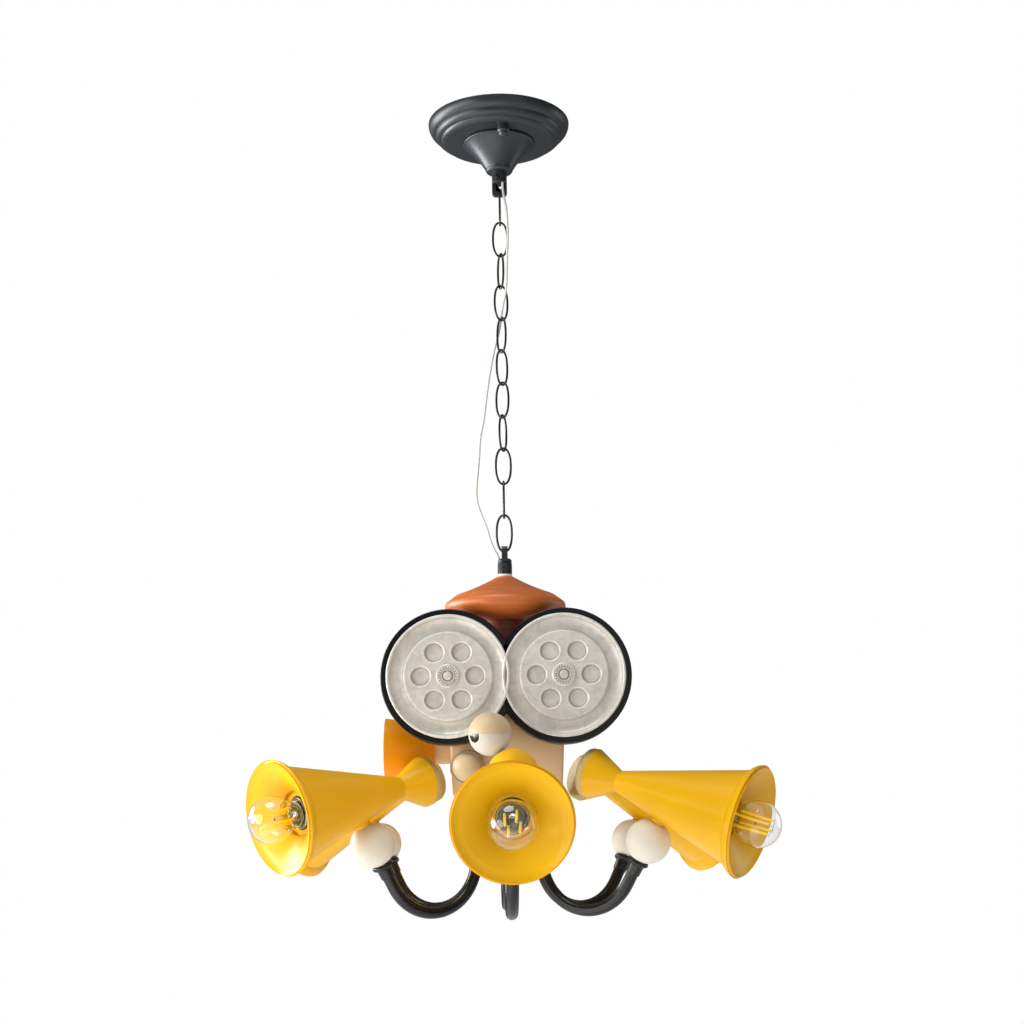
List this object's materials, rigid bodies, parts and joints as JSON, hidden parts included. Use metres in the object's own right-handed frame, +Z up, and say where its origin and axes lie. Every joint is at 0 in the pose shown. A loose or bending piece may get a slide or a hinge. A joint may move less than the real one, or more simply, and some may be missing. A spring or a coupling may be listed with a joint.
{
  "type": "pendant chandelier",
  "caption": "Chandelier with megaphone-shaped lamp heads that swivel on ball-topped curved arms round a playful reel-eared head block, hung by a chain and flex from a canopy.",
  "frame": {"origin": "on the ceiling plane, at the centre of the canopy's rim, on the lamp's hanging axis", "axes": "+Z up; the face's reels and eye look towards -Y; +X is to the right of someone facing the reels"},
  "size_m": [0.524, 0.5851, 0.863],
  "materials": {
    "dark_metal": "satin",
    "zinc": "satin",
    "white_plastic": "matt",
    "flex_white": "satin",
    "black_steel": "gloss",
    "hat_wood": "satin lacquer",
    "beige_wood": "satin lacquer",
    "dark_wood": "satin lacquer",
    "reel_black": "gloss lacquer",
    "reel_cream": "satin",
    "eye_white": "gloss lacquer",
    "horn_orange": "gloss",
    "horn_yellow": "gloss lacquer",
    "cap_tan": "satin",
    "cream_wood": "gloss lacquer",
    "holder_grey": "satin",
    "bulb_glass": "clear"
  },
  "bodies": {
    "canopy": {"ceiling_bar": "zinc", "bar_studs": "zinc", "cap_nuts": "dark_metal", "canopy_pan": "dark_metal", "canopy_cone": "dark_metal", "hanger_tube": "zinc", "hanger_loop": "dark_metal", "terminal_block": "white_plastic", "flex_top": "flex_white"},
    "link_a": {"link_a": "black_steel"},
    "chain": {"chain_links": "black_steel", "flex_mid": "flex_white"},
    "link_k": {"link_k": "black_steel", "flex_tail": "flex_white"},
    "lamp": {"lower_loop": "dark_metal", "coupling": "dark_metal", "washer": "white_plastic", "hat": "hat_wood", "hat_neck": "dark_wood", "head_block": "beige_wood", "reel_backs": "reel_black", "reel_faces": "reel_cream", "reel_hub_caps": "reel_cream", "eyeball": "eye_white", "eyelid": "beige_wood", "pupil": "reel_black", "nose_dish": "beige_wood", "nose_ball": "beige_wood", "side_horn": "horn_orange", "horn_peg": "beige_wood", "arm_hub": "beige_wood", "tie_rod": "zinc", "arms": "black_steel", "arm_cups": "black_steel", "wood_balls": "cream_wood", "swivel_studs": "zinc"},
    "head_f": {"horn_f": "horn_yellow", "end_cap_f": "cap_tan", "lampholder_f": "holder_grey", "bulb_f": "bulb_glass"},
    "head_rf": {"horn_rf": "horn_yellow", "end_cap_rf": "cap_tan", "lampholder_rf": "holder_grey", "bulb_rf": "bulb_glass"},
    "head_rb": {"horn_rb": "horn_yellow", "end_cap_rb": "cap_tan", "lampholder_rb": "holder_grey", "bulb_rb": "bulb_glass"},
    "head_b": {"horn_b": "horn_yellow", "end_cap_b": "cap_tan", "lampholder_b": "holder_grey", "bulb_b": "bulb_glass"},
    "head_lb": {"horn_lb": "horn_yellow", "end_cap_lb": "cap_tan", "lampholder_lb": "holder_grey", "bulb_lb": "bulb_glass"},
    "head_lf": {"horn_lf": "horn_yellow", "end_cap_lf": "cap_tan", "lampholder_lf": "holder_grey", "bulb_lf": "bulb_glass"}
  },
  "joints": [
    {"name": "canopy_swing", "type": "hinge", "parent": "canopy", "child": "link_a", "pos_m": [0, 0, -0.0832], "axis": [1, 0, 0], "range_deg": [-10, 10]},
    {"name": "chain_swing", "type": "hinge", "parent": "link_a", "child": "chain", "pos_m": [0, 0, -0.119], "axis": [0, 1, 0], "range_deg": [-10, 10]},
    {"name": "last_link_swing", "type": "hinge", "parent": "chain", "child": "link_k", "pos_m": [0, 0, -0.4502], "axis": [0, 1, 0], "range_deg": [-8, 8]},
    {"name": "lamp_swing", "type": "hinge", "parent": "link_k", "child": "lamp", "pos_m": [0, 0, -0.487], "axis": [1, 0, 0], "range_deg": [-8, 8]},
    {"name": "head_f_swivel", "type": "hinge", "parent": "lamp", "child": "head_f", "pos_m": [0.00463, -0.15603, -0.79043], "axis": [0.0148, -0.4998, 0.866], "range_deg": [-20, 0]},
    {"name": "head_rf_swivel", "type": "hinge", "parent": "lamp", "child": "head_rf", "pos_m": [0.13744, -0.07401, -0.79043], "axis": [0.4402, -0.237, 0.866], "range_deg": [-20, 20]},
    {"name": "head_rb_swivel", "type": "hinge", "parent": "lamp", "child": "head_rb", "pos_m": [0.13281, 0.08203, -0.79043], "axis": [0.4254, 0.2627, 0.866], "range_deg": [-20, 20]},
    {"name": "head_b_swivel", "type": "hinge", "parent": "lamp", "child": "head_b", "pos_m": [-0.00463, 0.15603, -0.79043], "axis": [-0.0148, 0.4998, 0.866], "range_deg": [-20, 20]},
    {"name": "head_lb_swivel", "type": "hinge", "parent": "lamp", "child": "head_lb", "pos_m": [-0.13744, 0.07401, -0.79043], "axis": [-0.4402, 0.237, 0.866], "range_deg": [0, 20]},
    {"name": "head_lf_swivel", "type": "hinge", "parent": "lamp", "child": "head_lf", "pos_m": [-0.13281, -0.08203, -0.79043], "axis": [-0.4254, -0.2627, 0.866], "range_deg": [-32, 0]}
  ]
}
